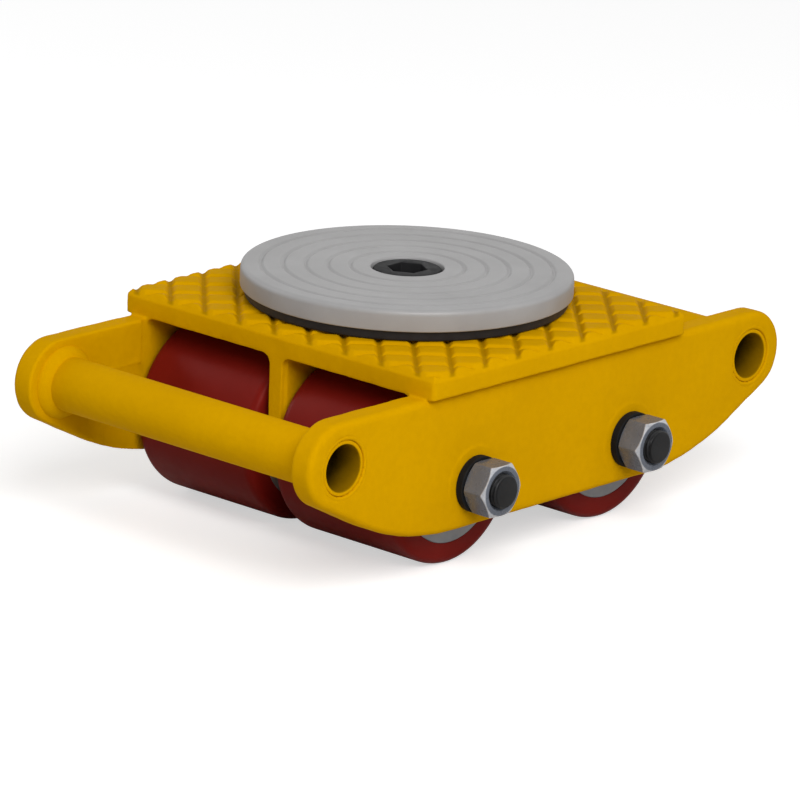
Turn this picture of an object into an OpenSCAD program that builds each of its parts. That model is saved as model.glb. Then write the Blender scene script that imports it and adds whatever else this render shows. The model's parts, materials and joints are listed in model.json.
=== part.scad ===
// Machine skate: a low load mover with four rollers under a cast frame and a turntable on top.
// The origin is on the floor in the middle of the footprint. X runs along the travel, Y along
// the axles and Z up. Front is +X and left is +Y. All sizes are in millimetres.

/* [Frame] */
// Length of the deck along the travel
deck_len = 178; // [172:1:200]
// Thickness of the deck, from its underside to the top of the tread
deck_t = 12.4; // [11:0.1:16]
// Height of the deck's upright edge
deck_edge_h = 8.6; // [7:0.1:9]
// Overhang of the deck past each side wall
deck_overhang = 3.5; // [2:0.5:10]
// Radius of the deck corners, seen from above
deck_corner_r = 2.5; // [1:0.5:8]
// Thickness of a side wall at its ears
plate_t = 12; // [10:0.5:18]
// Depth of the relief beside the rollers
bay_relief = 1; // [0.5:0.5:3]
// Thickness of the wall between the left and the right rollers
web_t = 10; // [6:0.5:14]
// How much shorter the middle wall's lower edge is at each end than the side walls' lower edges
middle_cut = 24; // [16:1:32]
// Height of the side walls above the floor
wall_low_z = 21.5; // [14:0.5:28]
// Slope of the lower edges towards the ears, in degrees
wall_slope = 27.4; // [22:0.2:30]
// Radius between the lower edge and its slopes
wall_low_r = 135; // [60:5:140]
// Rounding of the outer edges of the side walls
edge_r = 3; // [1:0.5:4]
// Rounding of the inner edges of the side walls
inner_edge_r = 1; // [0.5:0.5:2]
// Fillet under the deck
fillet_r = 4; // [2:0.5:5]

/* [Tread] */
// Distance from groove to groove
tread_pitch = 16; // [12:0.5:24]
// Width of a groove at the top
groove_w = 4.8; // [3:0.2:8]
// Width of a groove at its floor
groove_floor_w = 1; // [0.4:0.2:2.4]
// Depth of a groove
groove_depth = 2; // [1:0.2:3]
// Width of the slope round the tread, in which the grooves run out
tread_slope_w = 3; // [2:0.2:6]

/* [Handle tubes] */
// Distance between the two tube axes
handle_spacing = 287; // [280:1:320]
// Height of the tube axes
handle_z = 67; // [64:0.5:70]
// Outer diameter of a tube
tube_od = 26; // [24:0.5:30]
// Bore of a tube
tube_bore = 22; // [16:0.5:22]
// Radius of an ear round the tube
ear_r = 20.5; // [19:0.5:23]
// Distance from the tube axis out to the centre of the ear's round end
ear_offset = 2; // [0:0.5:6]
// Width of the weld preparation round a tube end
tube_chamfer = 1.6; // [0.6:0.2:2.4]
// Leg of the weld round a tube at the inner side of an ear
weld_leg = 5.4; // [3:0.2:6]

/* [Rollers] */
// Diameter of a roller
roller_d = 85; // [80:1:90]
// Length of a roller
roller_len = 75; // [65:1:90]
// Thickness of the polyurethane tyre
tyre_t = 10.5; // [6:0.5:12]
// Rounding of the tyre edges
tyre_round = 5; // [2:0.5:6]
// Gap between a roller end and the wall beside it
side_gap = 2.5; // [0.8:0.1:3]
// Distance between the two axles
axle_spacing = 109; // [104:1:120]
// Gap between the top of a roller and the underside of the deck
deck_gap = 3.3; // [2:0.1:6]

/* [Axles and fasteners] */
// Diameter of an axle
axle_d = 20; // [18:0.5:20]
// Diameter of the threaded axle ends
thread_d = 16; // [14:1:16]
// Width across the flats of a nut
nut_af = 24; // [24:1:27]
// Height of a nut
nut_h = 13; // [10:0.5:15]
// Outer diameter of a spring washer
washer_d = 27; // [25:0.5:30]
// Thickness of a spring washer
washer_t = 3.5; // [2.5:0.1:4.5]
// Length of thread that stands past a nut
thread_over = 2.8; // [2:0.2:8]
// Diameter of the raised face round an axle hole
boss_d = 35; // [31:1:38]
// Height of the raised face
boss_h = 0.8; // [0.4:0.1:2]

/* [Roller bearings] */
// Outer diameter of a roller bearing
brg_od = 47; // [44:1:52]
// Width of a roller bearing
brg_w = 14; // [12:1:16]
// Diameter of the circle through the ball centres
brg_pitch_d = 33.5; // [33:0.5:35]
// Diameter of a ball
brg_ball_d = 7.9; // [7:0.1:8]
// Number of balls in a roller bearing
brg_balls = 8; // [6:1:9]
// Depth of a bearing below the roller end
brg_recess = 1; // [0.5:0.5:3]

/* [Turntable] */
// Diameter of the turntable
disc_d = 158.6; // [140:0.2:170]
// Thickness of the turntable
disc_t = 10.4; // [9.8:0.2:16]
// Height of the turntable's underside above the deck
disc_lift = 5.1; // [4:0.1:8]
// Rounding of the turntable's upper edge
disc_round = 2.8; // [0.5:0.1:3]
// Radius of the first ring groove
ring_groove_r = 27.2; // [24:0.2:30]
// Distance from ring groove to ring groove
ring_groove_pitch = 10.6; // [8:0.2:11]
// Number of ring grooves
ring_grooves = 5; // [1:1:5]
// Width of a ring groove
ring_groove_w = 2.6; // [1:0.2:4]
// Depth of a ring groove
ring_groove_depth = 0.6; // [0.3:0.1:1]
// Outer diameter of the black slide ring under the turntable
slide_ring_d = 154; // [136:1:156]
// Width of the slide ring
slide_ring_w = 10; // [6:1:14]

/* [Pivot] */
// Diameter of the pivot screw's head
head_d = 33; // [31:0.5:34]
// Height of the pivot screw's head
head_h = 7; // [5:0.5:8]
// Depth of the head below the turntable's top
head_recess = 0.6; // [0:0.1:1]
// Width across the flats of the hexagon socket
socket_af = 17; // [12:1:17]
// Depth of the hexagon socket
socket_depth = 6; // [5:0.5:6]
// Diameter of the shoulder that the turntable turns on
shoulder_d = 20; // [18:0.5:20]
// Diameter of the pivot screw's thread
pivot_thread_d = 16; // [12:1:16]
// Wall of the bronze bush on the shoulder
bush_wall = 3; // [2:0.5:3.5]
// Diameter of the boss under the deck that holds the pivot screw
pivot_boss_d = 36; // [30:1:38]
// Depth of that boss below the deck
pivot_boss_h = 18; // [12:1:20]
// Outer diameter of the thrust bearing
thrust_od = 60; // [58:1:66]
// Bore of the thrust bearing
thrust_bore = 41; // [40:0.5:42]
// Height of the thrust bearing
thrust_h = 13; // [12:0.5:13]
// Share of the width of the thrust rings that a ball takes up
thrust_ball_share = 0.37; // [0.34:0.01:0.38]
// Number of thrust balls
thrust_balls = 16; // [12:1:16]

/* [Clearances] */
// Radial clearance of fixed fits
fit = 0.05; // [0.02:0.01:0.1]
// Clearance of a rolling or turning fit
running_fit = 0.05; // [0.03:0.01:0.1]
// Clearance of an axle in its holes
hole_clearance = 0.1; // [0.05:0.05:0.3]
// Gap between the slide ring and the deck
slide_gap = 0.3; // [0.2:0.1:0.6]

/* [Hidden] */
$fn = 96;
eps = 0.01;

axle_x = axle_spacing / 2;
axle_z = roller_d / 2;
deck_under_z = roller_d + deck_gap;
deck_top_z = deck_under_z + deck_t;
deck_edge_z = deck_under_z + deck_edge_h;

// Stations across the skate, outwards from the middle
roller_in_y = web_t / 2 + side_gap;
roller_out_y = roller_in_y + roller_len;
bay_wall_y = roller_out_y + side_gap;
ear_face_y = bay_wall_y - bay_relief;
side_y = ear_face_y + plate_t;
deck_w = 2 * (side_y + deck_overhang);
// Length of a cut that goes through the whole width
through = 2 * side_y + 20;

// Side wall outline, seen from the side
handle_x = handle_spacing / 2;
ear_x = handle_x + ear_offset;
ear_z = deck_under_z - ear_r;
pad_x = deck_len / 2 + 4;
pad_low_z = handle_z + 1;
relief_x = ear_x - ear_r - 7;
slope_top = [ear_x, ear_z] + ear_r * [sin(wall_slope), -cos(wall_slope)];
corner_x = slope_top[0] - (slope_top[1] - wall_low_z) / tan(wall_slope);
flat_x = corner_x - wall_low_r * tan(wall_slope / 2);
ear_segments = 72;
low_segments = 108;
rim_steps = 5;

// Axle stack, outwards from a side wall
boss_face_y = side_y + boss_h;
nut_seat_y = boss_face_y + washer_t;
nut_face_y = nut_seat_y + nut_h;
axle_end_y = nut_face_y + thread_over;
shaft_end_y = side_y - 1;
axle_hole_d = axle_d + 2 * hole_clearance;
thread_bevel = 1.2;

// Roller bearings
hub_d = roller_d - 2 * tyre_t;
hub_bore_d = brg_od - 7;
brg_out_y = roller_len / 2 - brg_recess;
brg_mid_y = brg_out_y - brg_w / 2;
brg_in_y = brg_out_y - brg_w;
race_groove_r = brg_ball_d / 2 + running_fit;
inner_race_d = brg_pitch_d - 6.6;
outer_race_d = brg_pitch_d + 6.6;
cage_w = brg_ball_d + 2.2;
seal_t = 0.8;
seal_gap = 0.3;
spacer_od = inner_race_d - 1;
spacer_t = side_gap + brg_recess;

// Turntable and thrust bearing, from the deck upwards
disc_low_z = deck_top_z + disc_lift;
disc_top_z = disc_low_z + disc_t;
head_top_z = disc_top_z - head_recess;
head_low_z = head_top_z - head_h;
bush_flange_t = 2;
bush_flange_z = head_low_z - running_fit - bush_flange_t;
bush_od = shoulder_d + 2 * running_fit + 2 * bush_wall;
head_pocket_d = head_d + 2;
thrust_low_depth = (thrust_h - disc_lift) * 0.45;
thrust_low_z = deck_top_z - thrust_low_depth;
thrust_top_z = thrust_low_z + thrust_h;
thrust_mid_z = (thrust_low_z + thrust_top_z) / 2;
thrust_pitch_d = (thrust_od + thrust_bore) / 2;
thrust_ball_d = (thrust_od - thrust_bore) * thrust_ball_share;
thrust_groove_r = thrust_ball_d / 2 + running_fit;
thrust_gap = thrust_ball_d * 0.62;
race_t = (thrust_h - thrust_gap) / 2;
spigot_d = thrust_bore - 1;
spigot_low_z = thrust_low_z + 2;
pivot_boss_z = deck_under_z - pivot_boss_h;
tread_hole_d = slide_ring_d - 2 * slide_ring_w + 8;

// Turns a shape that stands along Z so that it lies along Y, with its top towards +Y
module lie_along_y() {
    rotate([-90, 0, 0]) children();
}

// Repeats a shape at the front and the rear, mirrored
module front_and_rear() {
    children();
    mirror([1, 0, 0]) children();
}

// Repeats a shape at the left and the right, mirrored
module left_and_right() {
    children();
    mirror([0, 1, 0]) children();
}

// Material outside a convex corner at the origin that is rounded to radius r
module corner_waste(r) {
    difference() {
        translate([-1, -1]) square(r + 1);
        translate([r, r]) circle(r);
    }
}

// Points of an arc round centre c with radius r, from one angle to another in steps
function arc(c, r, from, to, steps) =
    [for (i = [0:steps]) c + r * [cos(from + (to - from) * i / steps), sin(from + (to - from) * i / steps)]];

// Section of a side wall's rounded rim at radius r: x is the radius, y runs from the inner face out
function rim_section(inner_r, r) = concat(
    [[inner_r, 0]],
    arc([r - inner_edge_r, inner_edge_r], inner_edge_r, -90, 0, 2),
    arc([r - edge_r, plate_t - edge_r], edge_r, 0, 90, rim_steps),
    [[inner_r, plate_t]]);

// Side wall lying flat: x along the skate, y up, z from the inner face of the ears outwards
module wall_blank() {
    hull()
        front_and_rear() {
            translate([ear_x, ear_z, 0])
                rotate_extrude($fn = ear_segments) polygon(rim_section(0, ear_r));
            translate([flat_x, wall_low_z + wall_low_r, 0])
                rotate([0, 0, -90])
                    rotate_extrude(angle = wall_slope, $fn = low_segments)
                        polygon(rim_section(wall_low_r - edge_r, wall_low_r));
        }
}

// Relief beside the rollers, as an outline on the inner face
module relief_outline() {
    top = deck_under_z + 1;
    translate([-pad_x, 0]) square([2 * pad_x, top]);
    translate([-relief_x, 0]) square([2 * relief_x, pad_low_z]);
}

module side_wall() {
    translate([0, ear_face_y, 0])
        mirror([0, 1, 0]) rotate([90, 0, 0])
            difference() {
                wall_blank();
                translate([0, 0, -1]) linear_extrude(1 + bay_relief) relief_outline();
            }
}

// Section of the deck across one direction: upright edges with a slope above them
module deck_section(size) {
    half = size / 2;
    polygon([[-half, deck_under_z], [half, deck_under_z], [half, deck_edge_z],
        [half - tread_slope_w, deck_top_z], [-half + tread_slope_w, deck_top_z], [-half, deck_edge_z]]);
}

// Deck plate with round corners and sloped sides, without its grooves
module deck_blank() {
    intersection() {
        rotate([90, 0, 0]) linear_extrude(2 * deck_w, center = true) deck_section(deck_len);
        rotate([90, 0, 90]) linear_extrude(2 * deck_len, center = true) deck_section(deck_w);
        linear_extrude(2 * deck_top_z)
            difference() {
                square([deck_len, deck_w], center = true);
                for (sx = [-1, 1], sy = [-1, 1])
                    scale([sx, sy]) translate([-deck_len / 2, -deck_w / 2])
                        corner_waste(deck_corner_r);
            }
    }
}

// Grooves along one diagonal of the tread
module diagonal_grooves() {
    reach = (deck_len + deck_w) / 2;
    count = floor(reach / sqrt(2) / tread_pitch);
    side = (groove_w - groove_floor_w) / 2 / groove_depth;
    for (i = [-count:count])
        rotate([0, 0, 45]) translate([0, i * tread_pitch, 0])
            rotate([90, 0, 90])
                linear_extrude(2 * reach, center = true)
                    polygon([[-groove_floor_w / 2, -groove_depth], [groove_floor_w / 2, -groove_depth],
                        [groove_w / 2 + side, 1], [-groove_w / 2 - side, 1]]);
}

// Crossed grooves that leave the raised lozenges, outside the ring that covers the middle
module tread_grooves() {
    translate([0, 0, deck_top_z])
        difference() {
            union() {
                diagonal_grooves();
                mirror([1, 0, 0]) diagonal_grooves();
            }
            translate([0, 0, -groove_depth - 1]) cylinder(h = groove_depth + 3, d = tread_hole_d);
        }
}

// Concave fillet that runs along X, in the corner between a wall at y and the deck's underside
module deck_fillet(y, length) {
    translate([0, y, deck_under_z])
        rotate([90, 0, 90])
            linear_extrude(length, center = true)
                difference() {
                    translate([-eps, -fillet_r]) square([fillet_r + eps, fillet_r + eps]);
                    translate([fillet_r, -fillet_r]) circle(fillet_r);
                }
}

// Middle wall between the left and the right rollers
module middle_wall() {
    half = deck_len / 2 - 3;
    low = corner_x - middle_cut;
    rotate([90, 0, 0])
        linear_extrude(web_t, center = true)
            polygon([[-low, wall_low_z], [low, wall_low_z], [half, axle_z + 6], [half, deck_under_z + 1],
                [-half, deck_under_z + 1], [-half, axle_z + 6]]);
    left_and_right() deck_fillet(web_t / 2, 2 * half);
}

// Hole of one axle through the whole casting
module axle_hole() {
    translate([axle_x, 0, axle_z])
        lie_along_y() cylinder(h = through, d = axle_hole_d, center = true);
}

// Hole of one handle tube, with the bevel that its end weld fills
module tube_hole() {
    d = tube_od + 2 * fit;
    translate([handle_x, 0, handle_z]) {
        lie_along_y() cylinder(h = through, d = d, center = true);
        left_and_right()
            translate([0, side_y - tube_chamfer, 0])
                lie_along_y() cylinder(h = 2 * tube_chamfer, d1 = d, d2 = d + 4 * tube_chamfer);
    }
}

module frame_casting() {
    color("#e0a800")
        difference() {
            union() {
                deck_blank();
                left_and_right() {
                    side_wall();
                    mirror([0, 1, 0]) deck_fillet(-bay_wall_y, deck_len - 6);
                    front_and_rear()
                        translate([axle_x, side_y - 1, axle_z])
                            lie_along_y() cylinder(h = boss_h + 1, d = boss_d);
                }
                middle_wall();
                translate([0, 0, pivot_boss_z])
                    cylinder(h = pivot_boss_h + 1, d = pivot_boss_d);
            }
            tread_grooves();
            front_and_rear() {
                axle_hole();
                tube_hole();
            }
            translate([0, 0, thrust_low_z])
                cylinder(h = deck_t, d = thrust_od + 2 * fit);
            translate([0, 0, pivot_boss_z - 1])
                cylinder(h = pivot_boss_h + deck_t, d = pivot_thread_d + 2 * fit);
        }
}

module handle_tube() {
    color("#e0a800")
        translate([handle_x, 0, handle_z])
            lie_along_y()
                difference() {
                    cylinder(h = 2 * side_y - 1, d = tube_od, center = true);
                    cylinder(h = 2 * side_y + 2, d = tube_bore, center = true);
                }
}

// Weld beads round the tubes, where they meet the inner faces of the ears
module handle_welds() {
    color("#e0a800")
        front_and_rear() left_and_right()
            translate([handle_x, ear_face_y, handle_z])
                rotate([90, 0, 0])
                    rotate_extrude()
                        translate([tube_od / 2 + fit, fit])
                            intersection() {
                                square(weld_leg);
                                translate([-weld_leg * 0.35, -weld_leg * 0.35])
                                    circle(weld_leg * 1.3);
                            }
}

module axle() {
    color("#26262a")
        translate([axle_x, 0, axle_z])
            lie_along_y() {
                cylinder(h = 2 * shaft_end_y, d = axle_d, center = true);
                for (end = [0, 1])
                    mirror([0, 0, end]) {
                        translate([0, 0, shaft_end_y - 1])
                            cylinder(h = axle_end_y - thread_bevel - shaft_end_y + 1, d = thread_d);
                        translate([0, 0, axle_end_y - thread_bevel])
                            cylinder(h = thread_bevel, d1 = thread_d, d2 = thread_d - 2 * thread_bevel);
                    }
            }
}

// Places a shape that stands along Z on each of the four axle ends, with its foot at y
module on_axle_ends(y) {
    front_and_rear() left_and_right()
        translate([axle_x, y, axle_z]) lie_along_y() children();
}

module axle_nuts() {
    corner_d = nut_af / cos(30);
    cone = (corner_d - nut_af) / 2 * tan(30);
    color("#9a9a9c")
        on_axle_ends(nut_seat_y)
            difference() {
                intersection() {
                    cylinder(h = nut_h, d = corner_d, $fn = 6);
                    union() {
                        cylinder(h = cone, d1 = nut_af, d2 = corner_d);
                        translate([0, 0, cone - eps])
                            cylinder(h = nut_h - 2 * cone + 2 * eps, d = corner_d);
                        translate([0, 0, nut_h - cone]) cylinder(h = cone, d1 = corner_d, d2 = nut_af);
                    }
                }
                translate([0, 0, -1]) cylinder(h = nut_h + 2, d = thread_d + 2 * fit);
                translate([0, 0, nut_h - 1])
                    cylinder(h = 1 + eps, d1 = thread_d + 2 * fit, d2 = thread_d + 2);
            }
}

// Split spring washers, with their slanted gap turned to the hidden side
module spring_washers() {
    color("#1c1c20")
        on_axle_ends(boss_face_y)
            difference() {
                cylinder(h = washer_t, d = washer_d);
                translate([0, 0, -1]) cylinder(h = washer_t + 2, d = thread_d + 6 * fit);
                translate([0, washer_d / 3, washer_t / 2])
                    rotate([0, 25, 0]) cube([1, washer_d, 3 * washer_t], center = true);
            }
}

// Ring that lies along the axle, centred on y
module ring_on_axle(y, width, outer_d, inner_d) {
    translate([0, y, 0])
        lie_along_y()
            difference() {
                cylinder(h = width, d = outer_d, center = true);
                cylinder(h = width + 2, d = inner_d, center = true);
            }
}

// Centre of a roller on the left front
module at_roller() {
    translate([axle_x, roller_in_y + roller_len / 2, axle_z]) children();
}

// Repeats a roller's piece at both of its bearings
module at_bearings() {
    for (end = [-1, 1])
        translate([0, end * brg_mid_y, 0]) children();
}

// Groove that the balls of a roller bearing run in
module ball_track() {
    lie_along_y()
        rotate_extrude() translate([brg_pitch_d / 2, 0]) circle(race_groove_r);
}

module spacer_washers() {
    color("#77787c")
        front_and_rear() left_and_right() at_roller()
            for (end = [-1, 1])
                ring_on_axle(end * (roller_len / 2 - brg_recess + spacer_t / 2), spacer_t,
                    spacer_od, axle_d + 2 * fit);
}

module bearing_sleeves() {
    color("#77787c")
        front_and_rear() left_and_right() at_roller()
            ring_on_axle(0, 2 * brg_in_y, spacer_od, axle_d + 2 * fit);
}

module bearing_inner_rings() {
    color("#b4b6ba")
        front_and_rear() left_and_right() at_roller() at_bearings()
            difference() {
                ring_on_axle(0, brg_w, inner_race_d, axle_d + 2 * fit);
                ball_track();
            }
}

module tyre() {
    color("#7a1616")
        at_roller()
            lie_along_y()
                rotate_extrude()
                    translate([hub_d / 2, -roller_len / 2])
                        difference() {
                            square([tyre_t, roller_len]);
                            translate([tyre_t, 0]) mirror([1, 0]) corner_waste(tyre_round);
                            translate([tyre_t, roller_len]) rotate(180) corner_waste(tyre_round);
                        }
}

module hub() {
    color("#8d9094")
        at_roller()
            difference() {
                ring_on_axle(0, roller_len, hub_d, hub_bore_d);
                at_bearings() ring_on_axle(0, brg_w, brg_od + 2 * fit, 1);
                for (end = [-1, 1])
                    ring_on_axle(end * (roller_len / 2), 2 * brg_recess + eps, brg_od + 2 * fit, 1);
            }
}

module outer_rings() {
    color("#b4b6ba")
        at_roller() at_bearings()
            difference() {
                ring_on_axle(0, brg_w, brg_od, outer_race_d);
                ball_track();
            }
}

module seals() {
    color("#202024")
        at_roller() at_bearings()
            for (side = [-1, 1])
                ring_on_axle(side * (brg_w / 2 - 0.3 - seal_t / 2), seal_t,
                    outer_race_d, inner_race_d + 2 * seal_gap);
}

// Ball centres of one roller bearing
module at_balls() {
    for (i = [0:brg_balls - 1])
        rotate([0, i * 360 / brg_balls, 0]) translate([brg_pitch_d / 2, 0, 0]) children();
}

module cages() {
    color("#a8863c")
        at_roller() at_bearings()
            difference() {
                ring_on_axle(0, cage_w, brg_pitch_d + 3, brg_pitch_d - 3);
                at_balls()
                    rotate([0, 90, 0]) cylinder(h = 10, d = brg_ball_d + 2 * running_fit, center = true);
            }
}

module balls() {
    color("#c4c6ca")
        at_roller() at_bearings() at_balls() sphere(d = brg_ball_d);
}

// Moves a front left piece to the front or rear (sx) and the left or right (sy)
module place_roller(sx, sy) {
    mirror([sx < 0 ? 1 : 0, 0, 0]) mirror([0, sy < 0 ? 1 : 0, 0]) children();
}

// Ring round the pivot, from height z upwards
module pivot_ring(z, height, outer_d, inner_d) {
    translate([0, 0, z])
        difference() {
            cylinder(h = height, d = outer_d);
            translate([0, 0, -1]) cylinder(h = height + 2, d = inner_d);
        }
}

// Groove that the thrust balls run in
module thrust_track() {
    translate([0, 0, thrust_mid_z])
        rotate_extrude() translate([thrust_pitch_d / 2, 0]) circle(thrust_groove_r);
}

module at_thrust_balls() {
    for (i = [0:thrust_balls - 1])
        rotate([0, 0, i * 360 / thrust_balls])
            translate([thrust_pitch_d / 2, 0, thrust_mid_z]) children();
}

module pivot_screw() {
    thread_len = thrust_low_z - pivot_boss_z - 2;
    color("#2c2c30")
        difference() {
            union() {
                translate([0, 0, head_low_z]) cylinder(h = head_h - 0.8, d = head_d);
                translate([0, 0, head_top_z - 0.8]) cylinder(h = 0.8, d1 = head_d, d2 = head_d - 1.6);
                translate([0, 0, thrust_low_z]) cylinder(h = head_low_z - thrust_low_z + 1, d = shoulder_d);
                translate([0, 0, thrust_low_z - thread_len])
                    cylinder(h = thread_len + 1, d = pivot_thread_d);
            }
            translate([0, 0, head_top_z - socket_depth])
                cylinder(h = socket_depth + 1, d = socket_af / cos(30), $fn = 6);
        }
}

module thrust_race_lower() {
    color("#b4b6ba")
        difference() {
            pivot_ring(thrust_low_z, race_t, thrust_od, thrust_bore);
            thrust_track();
        }
}

module thrust_race_upper() {
    color("#b4b6ba")
        difference() {
            pivot_ring(thrust_top_z - race_t, race_t, thrust_od, thrust_bore);
            thrust_track();
        }
}

module thrust_cage() {
    cage_t = thrust_gap - 1.4;
    color("#a8863c")
        difference() {
            pivot_ring(thrust_mid_z - cage_t / 2, cage_t, thrust_od - 1, thrust_bore + 0.6);
            at_thrust_balls() cylinder(h = 10, d = thrust_ball_d + 2 * running_fit, center = true);
        }
}

module thrust_balls() {
    color("#c4c6ca") at_thrust_balls() sphere(d = thrust_ball_d);
}

module pivot_bush() {
    bore = shoulder_d + 2 * running_fit;
    color("#b07a3a") {
        pivot_ring(spigot_low_z, bush_flange_z - spigot_low_z + eps, bush_od, bore);
        pivot_ring(bush_flange_z, bush_flange_t, head_d - 1, bore);
    }
}

module slide_ring() {
    height = disc_lift - slide_gap;
    color("#1e1e22")
        pivot_ring(disc_low_z - height, height, slide_ring_d, slide_ring_d - 2 * slide_ring_w);
}

// Section of the turntable from its axis outwards, before the ring grooves
module disc_section() {
    rim = disc_d / 2;
    polygon(concat(
        [[bush_od / 2 + fit, spigot_low_z], [spigot_d / 2, spigot_low_z],
            [spigot_d / 2, thrust_top_z], [thrust_od / 2 + fit, thrust_top_z],
            [thrust_od / 2 + fit, disc_low_z], [rim - 0.5, disc_low_z], [rim, disc_low_z + 0.5]],
        arc([rim - disc_round, disc_top_z - disc_round], disc_round, 0, 90, rim_steps),
        [[head_pocket_d / 2, disc_top_z], [head_pocket_d / 2, bush_flange_z],
            [bush_od / 2 + fit, bush_flange_z]]));
}

module turntable_disc() {
    // A ring groove is the part of a round bar of this radius that dips below the top
    bar_r = (ring_groove_w * ring_groove_w / 4 + ring_groove_depth * ring_groove_depth)
        / (2 * ring_groove_depth);
    color("#a3a3a3")
        difference() {
            rotate_extrude() disc_section();
            for (i = [0:ring_grooves - 1])
                translate([0, 0, disc_top_z + bar_r - ring_groove_depth])
                    rotate_extrude()
                        translate([ring_groove_r + i * ring_groove_pitch, 0]) circle(bar_r);
        }
}

frame_casting();
handle_tube();  // handle_tube_front
mirror([1, 0, 0]) handle_tube();  // handle_tube_rear
handle_welds();
axle();  // axle_front
mirror([1, 0, 0]) axle();  // axle_rear
axle_nuts();
spring_washers();
spacer_washers();
bearing_sleeves();
bearing_inner_rings();
place_roller(1, 1) tyre();  // front_left_tyre
place_roller(1, 1) hub();  // front_left_hub
place_roller(1, 1) outer_rings();  // front_left_outer_rings
place_roller(1, 1) seals();  // front_left_seals
place_roller(1, 1) cages();  // front_left_cages
place_roller(1, 1) balls();  // front_left_balls
place_roller(1, -1) tyre();  // front_right_tyre
place_roller(1, -1) hub();  // front_right_hub
place_roller(1, -1) outer_rings();  // front_right_outer_rings
place_roller(1, -1) seals();  // front_right_seals
place_roller(1, -1) cages();  // front_right_cages
place_roller(1, -1) balls();  // front_right_balls
place_roller(-1, 1) tyre();  // rear_left_tyre
place_roller(-1, 1) hub();  // rear_left_hub
place_roller(-1, 1) outer_rings();  // rear_left_outer_rings
place_roller(-1, 1) seals();  // rear_left_seals
place_roller(-1, 1) cages();  // rear_left_cages
place_roller(-1, 1) balls();  // rear_left_balls
place_roller(-1, -1) tyre();  // rear_right_tyre
place_roller(-1, -1) hub();  // rear_right_hub
place_roller(-1, -1) outer_rings();  // rear_right_outer_rings
place_roller(-1, -1) seals();  // rear_right_seals
place_roller(-1, -1) cages();  // rear_right_cages
place_roller(-1, -1) balls();  // rear_right_balls
pivot_screw();
thrust_race_lower();
thrust_cage();
thrust_balls();
thrust_race_upper();
pivot_bush();
slide_ring();
turntable_disc();
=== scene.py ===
"""Machine skate: the detailed pieces, materials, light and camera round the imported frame."""
import json
import math

import bmesh
import bpy
import numpy as np
from mathutils import Matrix, Vector

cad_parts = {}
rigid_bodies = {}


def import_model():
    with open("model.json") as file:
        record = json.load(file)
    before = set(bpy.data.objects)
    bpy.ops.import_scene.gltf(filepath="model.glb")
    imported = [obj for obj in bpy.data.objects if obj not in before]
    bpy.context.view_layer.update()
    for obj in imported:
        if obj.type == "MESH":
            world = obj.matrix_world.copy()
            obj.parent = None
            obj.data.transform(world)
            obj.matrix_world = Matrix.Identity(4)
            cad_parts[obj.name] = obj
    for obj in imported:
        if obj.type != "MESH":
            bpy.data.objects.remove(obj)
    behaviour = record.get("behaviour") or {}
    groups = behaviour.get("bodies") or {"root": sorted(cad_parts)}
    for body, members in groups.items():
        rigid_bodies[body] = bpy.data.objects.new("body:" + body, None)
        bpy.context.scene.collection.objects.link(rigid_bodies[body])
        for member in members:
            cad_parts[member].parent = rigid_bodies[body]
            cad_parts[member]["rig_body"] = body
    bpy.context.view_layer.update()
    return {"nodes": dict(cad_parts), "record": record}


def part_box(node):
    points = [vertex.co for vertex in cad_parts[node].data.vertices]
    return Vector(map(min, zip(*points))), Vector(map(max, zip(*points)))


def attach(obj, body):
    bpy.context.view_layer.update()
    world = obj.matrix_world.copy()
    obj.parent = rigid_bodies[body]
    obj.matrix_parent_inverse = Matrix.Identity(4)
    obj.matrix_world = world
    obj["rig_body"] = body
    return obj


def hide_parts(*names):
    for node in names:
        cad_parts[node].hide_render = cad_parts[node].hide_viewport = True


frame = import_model()
NODES = frame["nodes"]
MM = 0.001
ROLLERS = ("front_left", "front_right", "rear_left", "rear_right")


# Sizes in millimetres, read from the frame where it has them
def box_mm(node):
    low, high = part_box(node)
    return Vector(low) / MM, Vector(high) / MM


_, nut_high = box_mm("axle_nuts")
axle_low, axle_high = box_mm("axle_front")
_, disc_high = box_mm("turntable_disc")
tube_low, tube_high = box_mm("handle_tube_front")
ring_low, ring_high = box_mm("slide_ring")
_, head_high = box_mm("pivot_screw")
_, washer_high = box_mm("spring_washers")
AXLE_X = (axle_low.x + axle_high.x) / 2
AXLE_Z = (axle_low.z + axle_high.z) / 2
AXLE_END = axle_high.y
TUBE_X = (tube_low.x + tube_high.x) / 2
TUBE_Z = (tube_low.z + tube_high.z) / 2
TUBE_R = (tube_high.z - tube_low.z) / 2
TUBE_BORE_R = 11.0
SIDE_Y = tube_high.y + 0.5  # outer face of the side walls
NUT_SEAT = washer_high.y
NUT_FACE = nut_high.y
DECK_TOP = box_mm("frame_casting")[1].z
TREAD_PITCH = 16.0  # from one tread groove to the next


# Camera, fitted to the outlines in the photo: angles, then metres, then the lens in millimetres
CAM_AZ, CAM_EL, CAM_ROLL = math.radians(-47.97), math.radians(16.32), math.radians(2.27)
CAM_TARGET = Vector((-0.00321, -0.00146, 0.05104))
CAM_DISTANCE = 2.734
CAM_LENS, CAM_SENSOR = 257.96, 36.0


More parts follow.
